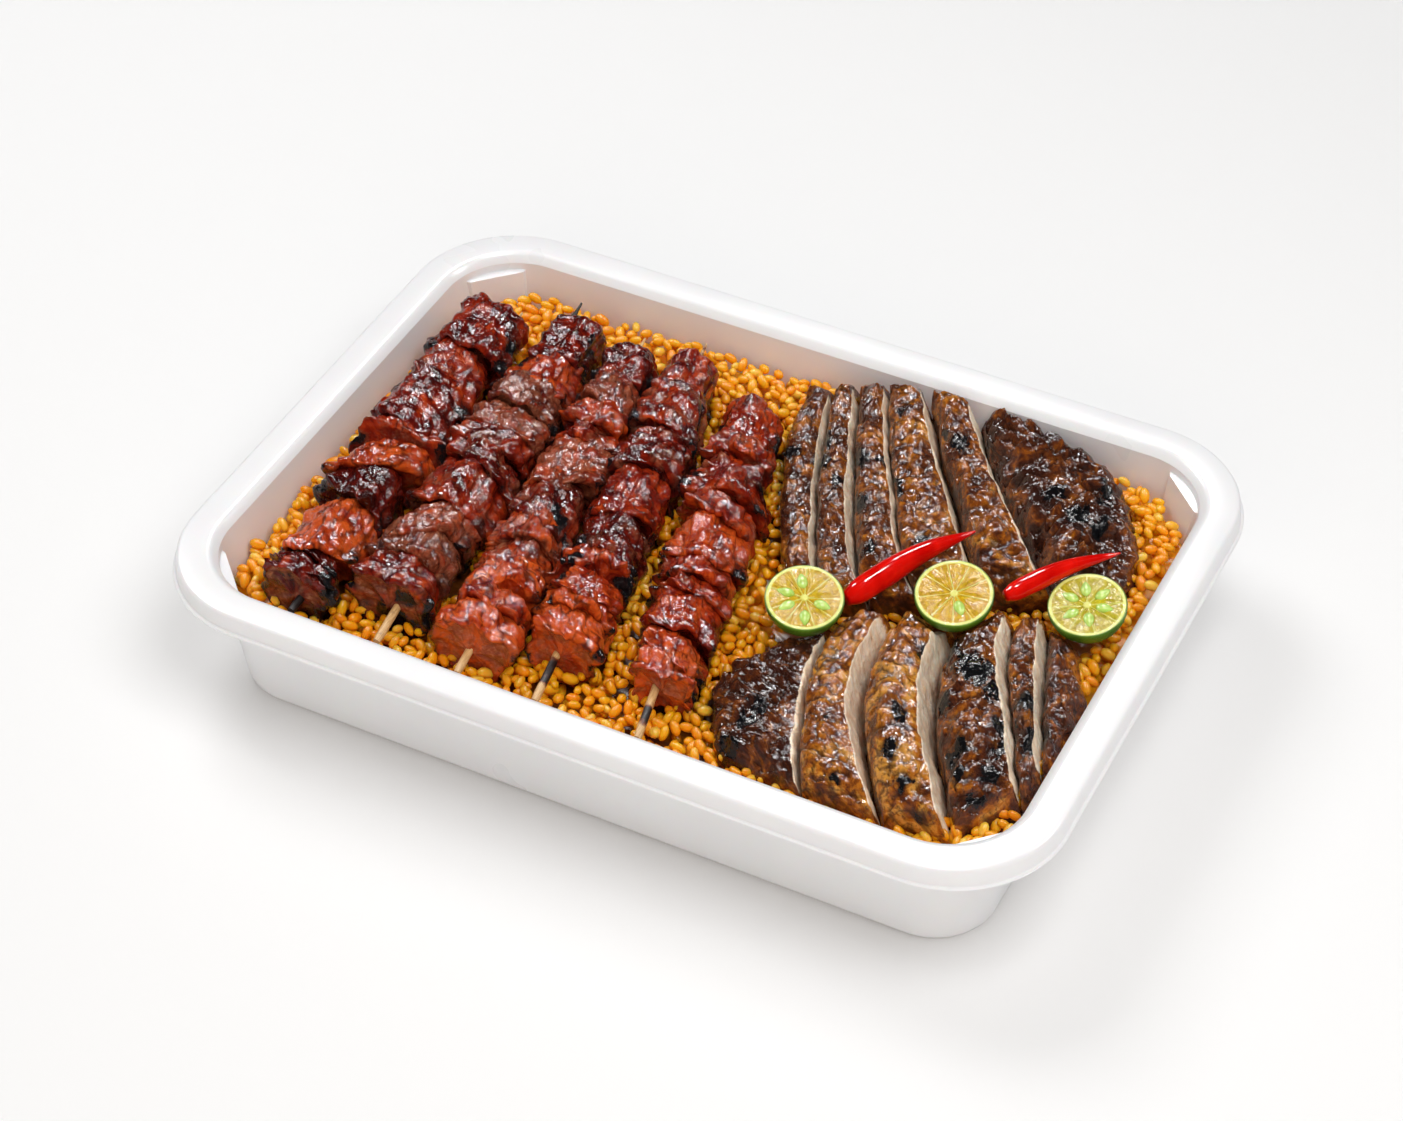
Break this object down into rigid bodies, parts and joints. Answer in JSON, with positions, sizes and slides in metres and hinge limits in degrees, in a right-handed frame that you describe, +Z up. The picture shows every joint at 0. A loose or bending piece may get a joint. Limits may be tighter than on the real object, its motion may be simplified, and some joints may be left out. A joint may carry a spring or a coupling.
{
  "type": "takeaway tray meal",
  "caption": "White plastic takeaway tray of yellow rice with glazed pork skewers, sliced grilled chicken, citrus halves and red chillies.",
  "frame": {"origin": "centre of the underside of the tray's base", "axes": "+Z up, +X along the tray's long side, +Y away from the side where the skewers' blunt ends lie"},
  "size_m": [0.3232, 0.2332, 0.0631],
  "materials": {
    "white_plastic": "semi-gloss moulded white",
    "yellow_rice": "cooked grains, soft sheen",
    "glazed_pork": "sticky red-brown glaze with charred edges",
    "bamboo": "plain, scorched near the meat",
    "grilled_chicken": "browned and charred, pale at the cuts",
    "citrus": "wet cut face with green rind",
    "chilli": "glossy red skin"
  },
  "bodies": {
    "root": {"chicken_far_slice_1": "grilled_chicken", "chicken_far_slice_2": "grilled_chicken", "chicken_far_slice_3": "grilled_chicken", "chicken_far_slice_4": "grilled_chicken", "chicken_far_slice_5": "grilled_chicken", "chicken_far_slice_6": "grilled_chicken", "chicken_near_slice_1": "grilled_chicken", "chicken_near_slice_2": "grilled_chicken", "chicken_near_slice_3": "grilled_chicken", "chicken_near_slice_4": "grilled_chicken", "chicken_near_slice_5": "grilled_chicken", "chicken_near_slice_6": "grilled_chicken", "chilli_1": "chilli", "chilli_2": "chilli", "citrus_half_1": "citrus", "citrus_half_2": "citrus", "citrus_half_3": "citrus", "rice": "yellow_rice", "skewer_1_pork_1": "glazed_pork", "skewer_1_pork_2": "glazed_pork", "skewer_1_pork_3": "glazed_pork", "skewer_1_pork_4": "glazed_pork", "skewer_1_pork_5": "glazed_pork", "skewer_1_pork_6": "glazed_pork", "skewer_1_pork_7": "glazed_pork", "skewer_1_stick": "bamboo", "skewer_2_pork_1": "glazed_pork", "skewer_2_pork_2": "glazed_pork", "skewer_2_pork_3": "glazed_pork", "skewer_2_pork_4": "glazed_pork", "skewer_2_pork_5": "glazed_pork", "skewer_2_pork_6": "glazed_pork", "skewer_2_pork_7": "glazed_pork", "skewer_2_stick": "bamboo", "skewer_3_pork_1": "glazed_pork", "skewer_3_pork_2": "glazed_pork", "skewer_3_pork_3": "glazed_pork", "skewer_3_pork_4": "glazed_pork", "skewer_3_pork_5": "glazed_pork", "skewer_3_pork_6": "glazed_pork", "skewer_3_pork_7": "glazed_pork", "skewer_3_stick": "bamboo", "skewer_4_pork_1": "glazed_pork", "skewer_4_pork_2": "glazed_pork", "skewer_4_pork_3": "glazed_pork", "skewer_4_pork_4": "glazed_pork", "skewer_4_pork_5": "glazed_pork", "skewer_4_pork_6": "glazed_pork", "skewer_4_pork_7": "glazed_pork", "skewer_4_stick": "bamboo", "skewer_5_pork_1": "glazed_pork", "skewer_5_pork_2": "glazed_pork", "skewer_5_pork_3": "glazed_pork", "skewer_5_pork_4": "glazed_pork", "skewer_5_pork_5": "glazed_pork", "skewer_5_pork_6": "glazed_pork", "skewer_5_pork_7": "glazed_pork", "skewer_5_stick": "bamboo", "tray": "white_plastic"}
  },
  "joints": []
}
